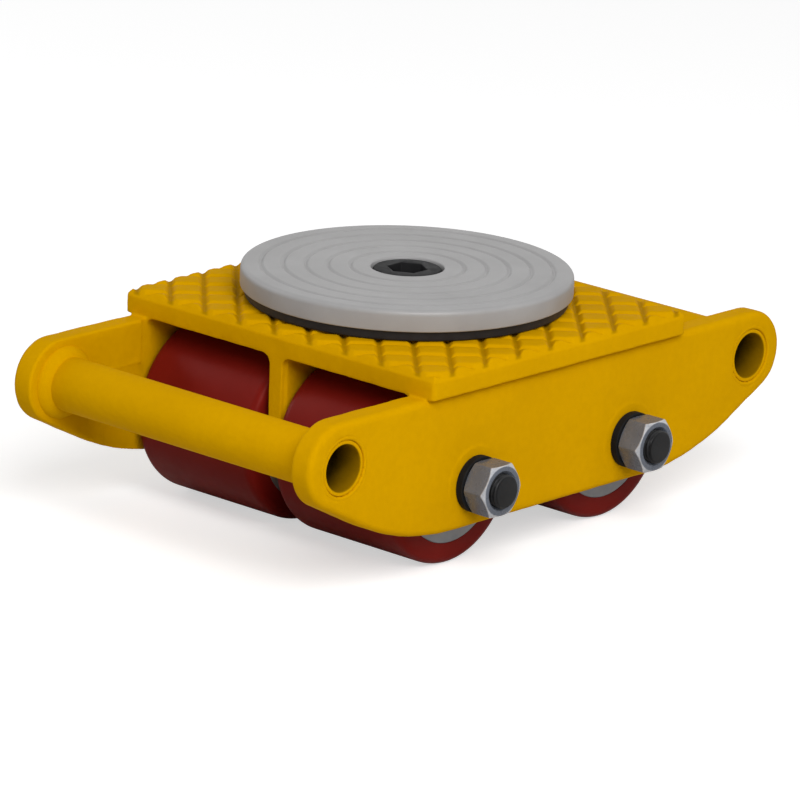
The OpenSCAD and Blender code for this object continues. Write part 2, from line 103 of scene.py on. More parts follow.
def make_camera():
    back = Vector((math.sin(CAM_AZ) * math.cos(CAM_EL), -math.cos(CAM_AZ) * math.cos(CAM_EL),
                   math.sin(CAM_EL)))
    right = (-back).cross(Vector((0, 0, 1))).normalized()
    up = right.cross(-back)
    rolled_right = right * math.cos(CAM_ROLL) + up * math.sin(CAM_ROLL)
    rolled_up = up * math.cos(CAM_ROLL) - right * math.sin(CAM_ROLL)
    cam = bpy.data.objects.new("camera", bpy.data.cameras.new("camera"))
    bpy.context.scene.collection.objects.link(cam)
    cam.data.lens = CAM_LENS
    cam.data.sensor_width = CAM_SENSOR
    cam.data.clip_start, cam.data.clip_end = 0.1, 50.0
    turn = Matrix((rolled_right, rolled_up, back)).transposed().to_4x4()
    cam.matrix_world = Matrix.Translation(CAM_TARGET + back * CAM_DISTANCE) @ turn
    bpy.context.scene.camera = cam


make_camera()


# Material helpers
class Shader:
    """A Principled material and short calls for the nodes that drive it."""

    def __init__(self, name, color, **values):
        self.mat = bpy.data.materials.new(name)
        self.mat.use_nodes = True
        self.tree = self.mat.node_tree
        self.bsdf = self.tree.nodes["Principled BSDF"]
        self.bsdf.inputs["Base Color"].default_value = (*color, 1)
        for key, value in values.items():
            self.bsdf.inputs[key.replace("_", " ")].default_value = value
        self.coord = self.tree.nodes.new("ShaderNodeTexCoord").outputs["Object"]
        self.normal = None

    def node(self, kind, links=(), **values):
        n = self.tree.nodes.new(kind)
        for key, value in values.items():
            setattr(n, key, value)
        for key, value in dict(links).items():
            if hasattr(value, "is_output"):
                self.tree.links.new(value, n.inputs[key])
            else:
                n.inputs[key].default_value = value
        return n

    def noise(self, scale, detail=2.0, rough=0.5):
        n = self.node("ShaderNodeTexNoise", {"Vector": self.coord, "Scale": scale, "Detail": detail,
                                             "Roughness": rough})
        return n.outputs["Fac"]

    def remap(self, fac, low, high, to_low=0.0, to_high=1.0):
        n = self.node("ShaderNodeMapRange", {"Value": fac, "From Min": low, "From Max": high,
                                             "To Min": to_low, "To Max": to_high})
        return n.outputs["Result"]

    def math(self, op, a, b=0.0):
        n = self.node("ShaderNodeMath", operation=op)
        for i, value in enumerate((a, b)):
            if hasattr(value, "is_output"):
                self.tree.links.new(value, n.inputs[i])
            else:
                n.inputs[i].default_value = value
        return n.outputs["Value"]

    def mix(self, fac, a, b):
        n = self.node("ShaderNodeMix", data_type="RGBA")
        for i, value in ((0, fac), (6, a), (7, b)):
            if hasattr(value, "is_output"):
                self.tree.links.new(value, n.inputs[i])
            elif i == 0:
                n.inputs[i].default_value = value
            else:
                n.inputs[i].default_value = (*value, 1)
        return n.outputs[2]

    def color(self, socket):
        self.tree.links.new(socket, self.bsdf.inputs["Base Color"])

    def rough(self, socket):
        self.tree.links.new(socket, self.bsdf.inputs["Roughness"])

    def bump(self, height, distance, strength=1.0):
        """Adds one layer of bump, with its height in metres."""
        n = self.node("ShaderNodeBump", {"Height": height, "Distance": distance,
                                         "Strength": strength})
        if self.normal:
            self.tree.links.new(self.normal, n.inputs["Normal"])
        self.normal = n.outputs["Normal"]
        self.tree.links.new(self.normal, self.bsdf.inputs["Normal"])

    def length(self, a, b):
        """Length of the vector (a, b)."""
        square = self.math("ADD", self.math("MULTIPLY", a, a), self.math("MULTIPLY", b, b))
        return self.math("SQRT", square)

    def split(self):
        """The object's own x, y and z, in metres."""
        n = self.node("ShaderNodeSeparateXYZ", {0: self.coord})
        return [n.outputs[k] for k in "XYZ"]

    def cross_distance(self, x, z, centre_x, centre_z):
        """Distance in metres from the nearer of the two lines along Y at +-centre_x, in mm."""
        side = self.math("SUBTRACT", self.math("ABSOLUTE", x), centre_x * MM)
        return self.length(side, self.math("SUBTRACT", z, centre_z * MM))


def linear(*rgb):
    """A colour as a screen shows it, 0 to 255, in linear light."""
    return tuple(((c / 255 + 0.055) / 1.055) ** 2.4 if c > 10.31 else c / 255 / 12.92
                 for c in rgb)


TREAD_LOW, TREAD_HIGH = DECK_TOP - 1.9, DECK_TOP - 0.3  # heights between which the tread grooves get painted shade
DECK_PAINT_LOW, DECK_PAINT_HIGH = DECK_TOP - 3.2, DECK_TOP - 2.4
# Strength of the painted shade in the tread grooves.
GROOVE_SHADE = 0.42
DISC_LATHE_PITCH, HUB_LATHE_PITCH = 0.0006, 0.0005  # lathe rings, in metres
CHAMFER_SLOPE = 0.577  # tangent of a nut's 30 degree chamfer


def yellow_paint():
    """Paint on a casting, with painted shade inside the tubes, darker deeper in, and painted shade
    along one direction of the tread grooves.
    """
    s = Shader("yellow_paint", linear(212, 157, 0), Roughness=0.5, Specular_IOR_Level=0.006,
               Specular_Tint=(1.0, 0.74, 0.02, 1.0))
    patches = s.remap(s.noise(14, 3), 0.3, 0.7)
    specks = s.remap(s.noise(260, 3, 0.6), 0.35, 0.65)
    base = s.mix(patches, linear(208, 154, 0), linear(216, 161, 0))
    base = s.mix(s.math("MULTIPLY", specks, 0.22), base, linear(198, 144, 0))
    x, y, z = s.split()

    # Painted shade inside the tube bores: dark tones, mottled, strongest deep in the tube and
    # weaker at its mouth.
    radius = s.cross_distance(x, z, TUBE_X, TUBE_Z)
    inside = s.remap(radius, (TUBE_BORE_R + 0.1) * MM, (TUBE_BORE_R + 0.6) * MM, 1.0, 0.0)
    depth = s.remap(s.math("ABSOLUTE", y), (SIDE_Y - 16) * MM, (SIDE_Y - 1) * MM, 1.0, 0.6)
    bore_shade = s.math("MULTIPLY", inside, depth)
    bore_shade_mottle = s.remap(s.noise(180, 4, 0.6), 0.35, 0.65)

    # Painted shade along one direction of the tread grooves, on the deck's top: a darker yellow in
    # place of the shade their walls catch.
    across = s.math("MULTIPLY", s.math("SUBTRACT", y, x), math.sqrt(0.5))
    half_pitch = TREAD_PITCH / 2 * MM
    wrap = s.node("ShaderNodeMath", {0: across, 1: half_pitch, 2: -half_pitch}, operation="WRAP")
    along = s.remap(s.math("ABSOLUTE", wrap.outputs["Value"]), 0.6 * MM, 2.0 * MM, 1.0, 0.0)
    low = s.remap(z, TREAD_LOW * MM, TREAD_HIGH * MM, 1.0, 0.0)
    on_deck = s.remap(z, DECK_PAINT_LOW * MM, DECK_PAINT_HIGH * MM, 0.0, GROOVE_SHADE)
    groove_shade = s.math("MULTIPLY", s.math("MULTIPLY", along, low), on_deck)
    base = s.mix(groove_shade, base, linear(104, 74, 0))

    s.color(s.mix(bore_shade, base, s.mix(bore_shade_mottle, linear(40, 28, 3), linear(64, 46, 5))))
    s.rough(s.remap(s.noise(90, 3), 0.3, 0.7, 0.46, 0.58))
    s.bump(s.noise(70, 2), 0.0006, 0.55)
    s.bump(s.noise(420, 3, 0.55), 0.00016, 0.6)
    return s.mat


def disc_grey():
    """Silver-grey steel with the fine rings that a lathe leaves round the pivot."""
    s = Shader("disc_steel", linear(160, 160, 161), Roughness=0.45, Metallic=0.05,
               Specular_IOR_Level=0.22)
    cloud = s.remap(s.noise(30, 4, 0.6), 0.3, 0.7)
    s.color(s.mix(cloud, linear(154, 153, 153), linear(164, 163, 163)))
    x, y, _ = s.split()
    rings = s.math("SINE", s.math("MULTIPLY", s.length(x, y), 2 * math.pi / DISC_LATHE_PITCH))
    s.rough(s.remap(s.noise(120, 3), 0.3, 0.7, 0.36, 0.46))
    s.bump(rings, 0.000006, 0.4)
    s.bump(s.noise(500, 3, 0.5), 0.00008, 0.5)
    return s.mat


def polyurethane():
    """Moulded dark red polyurethane with a soft sheen."""
    s = Shader("polyurethane", linear(110, 22, 17), Roughness=0.34, Specular_IOR_Level=0.1,
               Specular_Tint=(1.0, 0.45, 0.4, 1.0))
    cloud = s.remap(s.noise(45, 3, 0.55), 0.3, 0.7)
    s.color(s.mix(cloud, linear(109, 20, 14), linear(117, 24, 18)))
    s.rough(s.remap(s.noise(150, 3, 0.6), 0.3, 0.7, 0.3, 0.4))
    s.bump(s.noise(60, 2), 0.00012, 0.35)
    s.bump(s.noise(700, 2, 0.5), 0.00003, 0.4)
    return s.mat


def metal(name, shade_a, shade_b, rough_a, rough_b, metallic, grain=0.00004, gloss=0.5):
    """A clouded metal, rubber or plastic with a fine grain."""
    s = Shader(name, shade_a, Metallic=metallic, Roughness=(rough_a + rough_b) / 2,
               Specular_IOR_Level=gloss)
    s.color(s.mix(s.remap(s.noise(110, 4, 0.6), 0.3, 0.7), shade_a, shade_b))
    s.rough(s.remap(s.noise(240, 3, 0.6), 0.3, 0.7, rough_a, rough_b))
    s.bump(s.noise(320, 3, 0.55), grain, 0.6)
    return s.mat


def nut_zinc():
    """Zinc plate, with a painted highlight along the chamfers of the nuts."""
    s = Shader("zinc_steel", linear(114, 118, 126), Metallic=0.15, Roughness=0.28,
               Specular_IOR_Level=0.32)
    cloud = s.remap(s.noise(110, 4, 0.6), 0.3, 0.7)
    base = s.mix(cloud, linear(95, 100, 110), linear(107, 112, 122))
    x, y, z = s.split()
    radius = s.cross_distance(x, z, AXLE_X, AXLE_Z)
    # Painted highlight: a bright, mottled band along each nut's chamfer edge, in place of the glint
    # of the light on it.
    cone = s.math("ADD", s.math("ABSOLUTE", y), s.math("MULTIPLY", radius, CHAMFER_SLOPE))
    edge = (NUT_FACE + 11.5 * CHAMFER_SLOPE) * MM
    chamfer_highlight = s.math("MULTIPLY", s.remap(cone, edge - 0.0006, edge - 0.0001),
                    s.remap(radius, 0.0115, 0.0119))
    highlight_mottle = s.remap(s.noise(260, 3, 0.6), 0.3, 0.7, 0.55, 1.0)
    s.color(s.mix(s.math("MULTIPLY", chamfer_highlight, highlight_mottle), base, linear(200, 201, 204)))
    s.rough(s.remap(s.noise(240, 3, 0.6), 0.3, 0.7, 0.22, 0.34))
    s.bump(s.noise(320, 3, 0.55), 0.00004, 0.6)
    return s.mat


def turned_metal(name, shade_a, shade_b, rough_a, rough_b, metallic):
    """Metal with the fine rings that a lathe leaves on an end face, round the roller axis."""
    s = Shader(name, shade_a, Metallic=metallic, Roughness=(rough_a + rough_b) / 2)
    s.color(s.mix(s.remap(s.noise(90, 4, 0.6), 0.3, 0.7), shade_a, shade_b))
    s.rough(s.remap(s.noise(200, 3, 0.6), 0.3, 0.7, rough_a, rough_b))
    x, _, z = s.split()
    radius = s.cross_distance(x, z, AXLE_X, AXLE_Z)
    rings = s.math("SINE", s.math("MULTIPLY", radius, 2 * math.pi / HUB_LATHE_PITCH))
    s.bump(rings, 0.00001, 0.5)
    s.bump(s.noise(500, 3), 0.00003, 0.5)
    return s.mat


MATS = {
    "yellow_paint": yellow_paint(),
    "disc_steel": disc_grey(),
    "polyurethane": polyurethane(),
    "black_steel": metal("black_steel", linear(20, 20, 21), linear(29, 29, 30), 0.36, 0.5, 0.0,
                         gloss=0.24),
    "zinc_steel": nut_zinc(),
    "plain_steel": turned_metal("plain_steel", linear(150, 150, 152), linear(166, 166, 168),
                                0.3, 0.42, 0.9),
    "hub_iron": turned_metal("hub_iron", linear(128, 130, 133), linear(146, 148, 151),
                             0.36, 0.5, 0.6),
    "screw_black": metal("screw_black", linear(22, 22, 23), linear(32, 32, 33), 0.45, 0.6, 0.0,
                         gloss=0.06),
    "seal_rubber": metal("seal_rubber", linear(26, 26, 28), linear(38, 38, 40), 0.5, 0.65, 0.0),
    "bronze": metal("bronze", linear(176, 134, 76), linear(190, 150, 92), 0.3, 0.42, 0.9),
    "black_plastic": metal("black_plastic", linear(28, 28, 31), linear(38, 38, 41),
                           0.42, 0.55, 0.0, gloss=0.25),
    "bearing_steel": metal("bearing_steel", linear(196, 198, 202), linear(206, 208, 212),
                           0.12, 0.2, 1.0, 0.00001),
}


def slot_of(node):
    for row in frame["record"]["subparts"]:
        if row["node"] == node:
            return row["material_slot"]
    return "plain_steel"


def paint_frame():
    """Gives every CAD node the material of its slot, on the object, so its mesh stays as it is."""
    for name, obj in NODES.items():
        mat = MATS[slot_of(name)]
        for slot in obj.material_slots:
            slot.link = "OBJECT"
            slot.material = mat


paint_frame()


# Mesh helpers: sections and meshes are in millimetres, objects in metres
def make_piece(name, verts, faces, slot, body, replaced=(), angle=35.0):
    """A piece from verts in millimetres, on a body, in place of the replaced nodes."""
    mesh = bpy.data.meshes.new(name)
    mesh.from_pydata([Vector(v) * MM for v in verts], [], faces)
    bm = bmesh.new()
    bm.from_mesh(mesh)
    bmesh.ops.remove_doubles(bm, verts=bm.verts, dist=1e-6)
    bmesh.ops.recalc_face_normals(bm, faces=bm.faces)
    bm.to_mesh(mesh)
    bm.free()
    mesh.shade_smooth()
    mesh.set_sharp_from_angle(angle=math.radians(angle))
    mesh.materials.append(MATS[slot])
    obj = bpy.data.objects.new(name, mesh)
    bpy.context.scene.collection.objects.link(obj)
    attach(obj, body)
    if replaced:
        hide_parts(*replaced)
    return obj


def rounded(points, radii, steps=4):
    """Points of a closed section with its corners rounded, one radius for each corner."""
    out = []
    count = len(points)
    for i, p in enumerate(points):
        r = radii[i] if isinstance(radii, (list, tuple)) else radii
        p, a, b = Vector(p), Vector(points[i - 1]), Vector(points[(i + 1) % count])
        if not r:
            out.append(p)
            continue
        u, v = (a - p).normalized(), (b - p).normalized()
        half = u.angle(v) / 2
        t = min(r / math.tan(half), 0.49 * min((a - p).length, (b - p).length))
        for k in range(steps + 1):
            f = k / steps
            out.append(p + u * t * (1 - f) ** 2 + v * t * f ** 2)
    return out


AXES = {"Y": (Vector((1, 0, 0)), Vector((0, 0, 1)), Vector((0, 1, 0))),
        "Z": (Vector((1, 0, 0)), Vector((0, 1, 0)), Vector((0, 0, 1)))}


def ring_faces(rings, count):
    """Quads between closed rows of count verts, the last row joined to the first."""
    faces = []
    for i in range(rings):
        for j in range(count):
            k, m = (j + 1) % count, (i + 1) % rings
            faces.append([i * count + j, i * count + k, m * count + k, m * count + j])
    return faces


def revolve(section, centre=(0, 0, 0), axis="Z", steps=96, change=None):
    """Verts and faces of a closed section, given as radius and height, turned round an axis."""
    e1, e2, e3 = AXES[axis]
    centre = Vector(centre)
    verts = []
    for i in range(steps):
        a = 2 * math.pi * i / steps
        out = e1 * math.cos(a) + e2 * math.sin(a)
        for j, (r, h) in enumerate(section):
            if change:
                r, h = change(a, j, r, h)
            verts.append(centre + out * r + e3 * h)
    return verts, ring_faces(steps, len(section))


def gather(parts):
    """One list of verts and faces from several."""
    verts, faces = [], []
    for v, f in parts:
        base = len(verts)
        verts += list(v)
        faces += [[i + base for i in face] for face in f]
    return verts, faces


def mirrored(part, across):
    """A copy of verts and faces, mirrored in x, y or z."""
    verts, faces = part
    index = "xyz".index(across)
    flipped = []
    for v in verts:
        v = Vector(v)
        v[index] = -v[index]
        flipped.append(v)
    return flipped, [list(reversed(f)) for f in faces]


def four_ways(part):
    """A part of the front left corner, at all four corners."""
    left = [part, mirrored(part, "x")]
    return gather(left + [mirrored(p, "y") for p in left])


def at_axle(angle, radius, y):
    """A point round the front axle, at an angle from +X."""
    return Vector((AXLE_X + radius * math.cos(angle), y, AXLE_Z + radius * math.sin(angle)))


# Turntable: grooves with soft edges, a rounded rim and a pocket for the screw
DISC_R = disc_high.x
DISC_T, DISC_LIFT, THRUST_H = 10.4, 5.1, 13.0
DISC_TOP = disc_high.z
DISC_UNDER = DISC_TOP - DISC_T
DISC_ROUND, DISC_FLAT = 2.9, 3.0  # rounding of the rim, and where the flat top starts inside it
GROOVE_R, GROOVE_PITCH, GROOVES = 27.2, 10.6, 5
GROOVE_HALF, GROOVE_DEPTH = 1.5, 1.0
POCKET_R, BUSH_R, SPIGOT_R, THRUST_R = 17.5, 13.1, 20.0, 30.05
POCKET_SEAT = 9.05  # from the screw's top down to the seat of the bush's flange
THRUST_SUNK = THRUST_H - DISC_LIFT  # the part of the thrust bearing's height inside its seats
SLIDE_RING_W = 10.0


def disc_top_profile():
    """Top of the turntable, from the rim inwards, as radius and drop."""
    pts = []
    for r in np.arange(DISC_R - DISC_FLAT, POCKET_R + 0.8, -0.3):
        drop = 0.0
        for g in range(GROOVES):
            d = (r - GROOVE_R - g * GROOVE_PITCH) / GROOVE_HALF
            if abs(d) < 1:
                drop = GROOVE_DEPTH * (math.cos(d * math.pi) + 1) / 2
        pts.append((float(r), -drop))
    return pts


def make_disc():
    thrust_top = DISC_UNDER + THRUST_SUNK * 0.55
    spigot_low = DISC_UNDER - DISC_LIFT - THRUST_SUNK * 0.45 + 2
    flange = head_high.z - POCKET_SEAT
    rim = rounded([(THRUST_R, DISC_TOP), (DISC_R, DISC_TOP), (DISC_R, DISC_UNDER),
                   (THRUST_R, DISC_UNDER)], [0, DISC_ROUND, 0.7, 0], 8)
    rim = rim[1:-1]
    inner = [(THRUST_R, DISC_UNDER), (THRUST_R, thrust_top), (SPIGOT_R, thrust_top),
             (SPIGOT_R, spigot_low), (BUSH_R, spigot_low), (BUSH_R, flange), (POCKET_R, flange),
             (POCKET_R, DISC_TOP - 0.6), (POCKET_R + 0.2, DISC_TOP - 0.2),
             (POCKET_R + 0.7, DISC_TOP)]
    top = [(r, DISC_TOP + d) for r, d in reversed(disc_top_profile())]
    verts, faces = revolve([Vector(p) for p in rim + inner + top], steps=224)
    make_piece("turntable_top", verts, faces, "disc_steel", "turntable", ["turntable_disc"], 50)


def make_slide_ring():
    r_out, r_in = ring_high.x, ring_high.x - SLIDE_RING_W
    section = rounded([(r_in, ring_low.z), (r_out, ring_low.z), (r_out, ring_high.z),
                       (r_in, ring_high.z)], [0.5, 0.8, 0.4, 0.3])
    verts, faces = revolve(section, steps=192)
    make_piece("slide_ring_black", verts, faces, "black_plastic", "turntable", ["slide_ring"])


make_disc()
make_slide_ring()


# Rollers: polyurethane tyres with a soft edge, on turned hubs
ROLLER_R, TYRE_T, TYRE_ROUND = 42.5, 10.5, 5.0
HUB_R = ROLLER_R - TYRE_T
HUB_BORE, BEARING_SEAT, BEARING_RECESS, BEARING_W = 20.0, 23.55, 1.0, 14.0


def make_rollers():
    for name in ROLLERS:
        low, high = box_mm(name + "_tyre")
        centre = (low + high) / 2
        half = (high.y - low.y) / 2
        section = rounded([(HUB_R, -half), (ROLLER_R, -half), (ROLLER_R, half), (HUB_R, half)],
                          [0, TYRE_ROUND, TYRE_ROUND, 0], 9)
        body = name + "_roller"
        verts, faces = revolve(section, centre, "Y", 160)
        make_piece(name + "_polyurethane", verts, faces, "polyurethane", body, [name + "_tyre"])
        step, hub_r = half - BEARING_RECESS - BEARING_W, HUB_R - 0.02
        hub = rounded([(HUB_BORE, -step), (BEARING_SEAT, -step), (BEARING_SEAT, -half),
                       (hub_r, -half), (hub_r, half), (BEARING_SEAT, half), (BEARING_SEAT, step),
                       (HUB_BORE, step)],
                      [0.3, 0, 0.8, 0.5, 0.5, 0.8, 0, 0.3], 3)
        verts, faces = revolve(hub, centre, "Y", 96)
        make_piece(name + "_hub_body", verts, faces, "hub_iron", body, [name + "_hub"])


make_rollers()


# Axles: a plain shank and cut threads with a run-out and a bevelled tip
SHANK_R, THREAD_R, THREAD_ROOT, THREAD_PITCH = 10.0, 8.0, 6.95, 2.0
TIP_FACE_R = 6.6
ROOT_FLAT, FLANK = 0.12, 0.66  # of a thread's profile, as shares of half a pitch


def thread_height(phase):
    """Height of a thread's flank, 0 at the root and 1 at the crest, for a phase from 0 to 1."""
    d = abs(phase - 0.5) * 2
    return min(1.0, max(0.0, (1.0 - d - ROOT_FLAT) / FLANK))


def threaded_axle():
    """Half an axle along +Y, from the middle to its tip."""
    steps, row = 72, 0.2
    shank_end = SIDE_Y - 1
    rows = [(0.0, SHANK_R, 0), (shank_end - 0.6, SHANK_R, 0), (shank_end, SHANK_R - 0.6, 0),
            (shank_end, THREAD_ROOT + 0.3, 0), (shank_end + 2.2, THREAD_ROOT + 0.3, 0)]
    y = shank_end + 2.4
    while y < AXLE_END - 0.01:
        limit = min(THREAD_R, TIP_FACE_R + 0.35 + (AXLE_END - y) * 1.15)
        rows.append((y, limit, 1))
        y += row
    rows += [(AXLE_END - 0.35, TIP_FACE_R + 0.25, 0), (AXLE_END - 0.1, TIP_FACE_R - 0.05, 0),
             (AXLE_END, TIP_FACE_R - 0.5, 0)]
    rows = [rows[0]] + sorted(rows[1:], key=lambda r: (r[0], -r[1]))
    verts, faces = [], []
    for y, r, threaded in rows:
        for i in range(steps):
            a = 2 * math.pi * i / steps
            radius = r
            if threaded:
                phase = (y / THREAD_PITCH - i / steps) % 1.0
                crest = THREAD_ROOT + (THREAD_R - THREAD_ROOT) * thread_height(phase)
                radius = min(crest, r)
            verts.append(at_axle(a, radius, y))
    for j in range(len(rows) - 1):
        for i in range(steps):
            k = (i + 1) % steps
            faces.append([j * steps + i, j * steps + k, (j + 1) * steps + k, (j + 1) * steps + i])
    last = (len(rows) - 1) * steps
    faces.append([last + i for i in range(steps)])
    return verts, faces


def make_axles():
    half = threaded_axle()
    whole = gather([half, mirrored(half, "y")])
    make_piece("axle_front_cut", *whole, "black_steel", "frame", ["axle_front"], 28)
    make_piece("axle_rear_cut", *mirrored(whole, "x"), "black_steel", "frame", ["axle_rear"], 28)


make_axles()


# Nuts: hexagons with the curved edges that a 30 degree chamfer leaves, and a countersunk bore
NUT_AF, NUT_BORE = 24.0, 8.08
NUT_BLUNT = 0.1575  # how far the six points are blunted
NUT_SOFT = 0.25
NUT_ROUND = NUT_AF / 2 - 0.5  # radius at which the chamfer starts
NUT_STEPS = (0, 0.6, 1.4, 2.4, 4, 6, 9, 13, 18, 24, 30, 36, 42, 47, 51, 54, 56, 57.6, 58.6, 59.4)


def hex_radius(angle):
    """Radius of a hexagon with points on +-X, its points slightly blunted."""
    phi = (angle % (math.pi / 3)) - math.pi / 6
    corner = NUT_AF / 2 / math.cos(math.pi / 6)
    return min(NUT_AF / 2 / math.cos(phi), corner - NUT_BLUNT)


def nut_angles():
    """Angles round a nut, closer together near its six corners."""
    return [k * math.pi / 3 + math.radians(t) for k in range(6) for t in NUT_STEPS]


def nut():
    """One nut at the front left axle end."""
    height, soft = NUT_FACE - NUT_SEAT, NUT_SOFT
    angles = nut_angles()
    verts = []
    for a in angles:
        r = hex_radius(a)
        drop = (r - NUT_ROUND) * math.tan(math.radians(30))
        flank = [(NUT_ROUND - soft, 0.0), (NUT_ROUND + soft, soft * 0.5),
                 (r - soft, drop - soft * 0.58), (r - soft * 0.2, drop), (r, drop + soft)]
        line = [(NUT_BORE, height - 1.5), (NUT_BORE, 1.0), (NUT_BORE + 0.9, 0.0)] + flank
        line += [(r, height / 2)] + [(q, height - h) for q, h in reversed(flank)]
        line += [(NUT_BORE + 1.5, height), (NUT_BORE + 1.3, height - 0.15)]
        for radius, h in line:
            verts.append(at_axle(a, radius, NUT_SEAT + h))
    return verts, ring_faces(len(angles), len(line))


def make_nuts():
    make_piece("axle_nuts_cut", *four_ways(nut()), "zinc_steel", "frame", ["axle_nuts"], 24)


make_nuts()


# Spring washers: rounded bars bent to a ring, with a slanted split at the bottom
WASHER_R, WASHER_BORE = 13.5, 8.15
WASHER_GAP, WASHER_SLANT = math.radians(6), math.radians(9)
RING_RISE = 0.28  # height of the raised face under a washer (0.8 in the CAD)


def washer():
    base = SIDE_Y + RING_RISE
    height = washer_high.y - base
    section = rounded([(WASHER_BORE, 0), (WASHER_R, 0), (WASHER_R, height), (WASHER_BORE, height)],
                      [0.3, 0.6, 0.6, 0.3], 4)
    steps = 88
    verts, faces = [], []
    for i in range(steps + 1):
        for r, h in section:
            slant = WASHER_SLANT * (h / height - 0.5)
            turn = (2 * math.pi - WASHER_GAP) * i / steps
            a = -math.pi / 2 + WASHER_GAP / 2 + slant + turn
            verts.append(at_axle(a, r, base + h))
    count = len(section)
    for i in range(steps):
        for j in range(count):
            k = (j + 1) % count
            faces.append([i * count + j, i * count + k, (i + 1) * count + k, (i + 1) * count + j])
    faces.append(list(range(count)))
    faces.append([steps * count + j for j in reversed(range(count))])
    return verts, faces


bent = make_piece("spring_washers_bent", *four_ways(washer()), "black_steel", "frame",
                  ["spring_washers"], 40)
bent.data.materials[0] = MATS["screw_black"]


# Handle tubes, and the welds that hold them
WELD_LEG, WELD_FACE = 4.6, 84.0  # 5.4 in the CAD, on the ear's inner face


def tube():
    half = tube_high.y
    section = rounded([(TUBE_BORE_R, -half), (TUBE_R, -half), (TUBE_R, half), (TUBE_BORE_R, half)],
                      [0.7, 0.5, 0.5, 0.7], 4)
    return revolve(section, (TUBE_X, 0, TUBE_Z), "Y", 96)


def make_tubes():
    part = tube()
    make_piece("handle_bar_front", *part, "yellow_paint", "frame", ["handle_tube_front"])
    make_piece("handle_bar_rear", *mirrored(part, "x"), "yellow_paint", "frame",
               ["handle_tube_rear"])


def inner_weld():
    """Smooth bead at the inner face of the front left ear, between a flat and a round section."""
    foot, steps, roundness = TUBE_R - 0.05, 12, 0.45
    arc = [(foot, WELD_FACE + 0.3), (foot + WELD_LEG, WELD_FACE + 0.3)]
    for k in range(steps + 1):
        t = math.radians(90 * k / steps)
        out = roundness * math.cos(t) + (1 - roundness) * (1 - k / steps)
        along = roundness * math.sin(t) + (1 - roundness) * k / steps
        arc.append((foot + WELD_LEG * out, WELD_FACE - WELD_LEG * along))

    def wave(a, j, r, h):
        if j < 2:
            return r, h
        t = (j - 2) / steps
        lift = 0.03 * math.cos(26 * a + 2.2 * math.sin(math.pi * t)) + 0.12 * math.sin(5 * a)
        lift *= math.sin(math.pi * t) * 0.9
        return r + lift * 0.7, h - lift * 0.7

    return revolve(arc, (TUBE_X, 0, TUBE_Z), "Y", 208, change=wave)


def end_weld():
    """Flush bead that fills the bevel round a tube's end, with a seam left open low at the back."""
    face = SIDE_Y
    section = rounded([(TUBE_R + 0.06, face - 1.4), (TUBE_R + 1.75, face - 0.1),
                       (TUBE_R + 2.1, face + 0.02), (TUBE_R + 1.2, face + 0.16),
                       (TUBE_R + 0.3, face - 0.12)], [0, 0.1, 0.3, 0.8, 0.3], 4)

    def seam(a, j, r, h):
        ripple = 0.05 * math.sin(31 * a) + 0.05 * math.sin(7 * a + 1.0)
        gap = max(0.0, math.sin(a * 23)) * 0.35 if 3.3 < a < 5.2 else 0.0
        if r < TUBE_R + 0.9:
            r += gap
        return r, h + (ripple * 0.5 if h > face - 0.3 else 0.0)

    return revolve(section, (TUBE_X, 0, TUBE_Z), "Y", 180, change=seam)


make_tubes()
make_piece("handle_weld_beads", *four_ways(inner_weld()), "yellow_paint", "frame",
           ["handle_welds"], 60)
make_piece("tube_end_beads", *four_ways(end_weld()), "yellow_paint", "frame", (), 60)


# Copies of machined and cast solids with their edges taken off
def soften(node, name, width):
    """A copy of a machined solid with its edges bevelled, width in millimetres."""
    bm = bmesh.new()
    bm.from_mesh(NODES[node].data)
    bmesh.ops.remove_doubles(bm, verts=bm.verts, dist=2e-6)
    bmesh.ops.dissolve_limit(bm, angle_limit=math.radians(0.6), verts=bm.verts, edges=bm.edges)
    mesh = bpy.data.meshes.new(name)
    bm.to_mesh(mesh)
    bm.free()
    obj = bpy.data.objects.new(name, mesh)
    bpy.context.scene.collection.objects.link(obj)
    bevel = obj.modifiers.new("edge", "BEVEL")
    bevel.width = width * MM
    bevel.segments = 2
    bevel.limit_method = "ANGLE"
    bevel.angle_limit = math.radians(30)
    bevel.harden_normals = False
    return finish_copy(obj, node)


def finish_copy(obj, node):
    """Turns an object with modifiers into a plain mesh that stands for a node."""
    deps = bpy.context.evaluated_depsgraph_get()
    mesh = bpy.data.meshes.new_from_object(obj.evaluated_get(deps))
    name = obj.name
    bpy.data.objects.remove(obj)
    mesh.materials.clear()
    mesh.materials.append(MATS[slot_of(node)])
    mesh.shade_smooth()
    mesh.set_sharp_from_angle(angle=math.radians(38))
    made = bpy.data.objects.new(name, mesh)
    bpy.context.scene.collection.objects.link(made)
    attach(made, NODES[node]["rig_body"])
    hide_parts(node)
    return made


screw = soften("pivot_screw", "pivot_screw_turned", 0.3)
screw.data.materials[0] = MATS["screw_black"]


# The frame casting: its places in the CAD, and the fillets and cast surface added here
DECK_UNDER, DECK_END, WEB_HALF, WEB_LOW, BAY_WALL = 88.3, 89.0, 4.0, 51.0, 85.0
WEB_FILLET, WALL_FILLET = 4.5, 4.0
EAR_FACE, EAR_X, PAD_X, PAD_LOW = 84.0, 118.6, 92.6, 68.4  # the pad by each ear
PAD_FADE = 14.0  # height over which the pad's step fades out below it
WAVE_HEIGHT, WAVE_SIZE = 0.45, 0.012  # of the cast waves: millimetres, and metres
RING_SKIN = 0.12  # waves up to this height over the side walls stay as they are
RING_CAD, RING_TOP = 0.8, 80.0  # height of the face under a washer in the CAD, and its upper limit


def fillet_points(y, z, r, steps=8):
    """Concave fillet under the deck beside a wall at y, from the wall out to the deck."""
    points = []
    for k in range(steps + 1):
        t = math.radians(90 * k / steps)
        points.append((y + r - r * math.cos(t), z - r + r * math.sin(t)))
    return points


